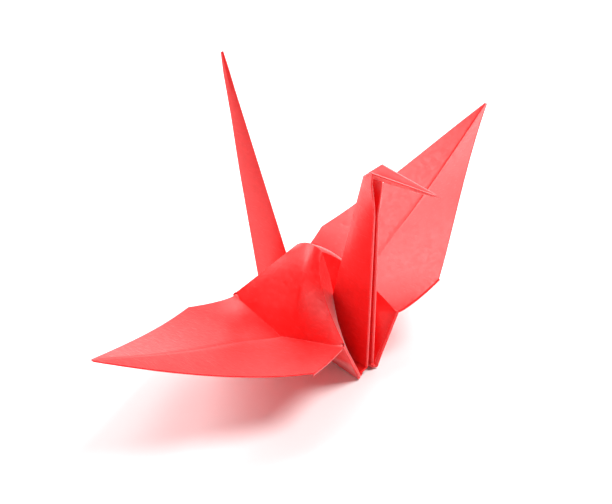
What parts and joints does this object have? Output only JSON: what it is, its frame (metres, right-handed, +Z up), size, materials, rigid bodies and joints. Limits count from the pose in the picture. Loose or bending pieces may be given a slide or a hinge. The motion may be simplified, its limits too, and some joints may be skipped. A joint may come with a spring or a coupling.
{
  "type": "origami crane",
  "caption": "Paper crane folded from one square sheet, with spread wings, an upright tail, and a neck ending in a bent beak.",
  "frame": {"origin": "on the ground plane, under the centre of the crane's outline box", "axes": "+X the way the head points, +Y from wing tip to wing tip, +Z up"},
  "size_m": [0.0556, 0.13, 0.0716],
  "materials": {
    "red_paper": "matte"
  },
  "bodies": {
    "root": {"crane": "red_paper"}
  },
  "joints": []
}
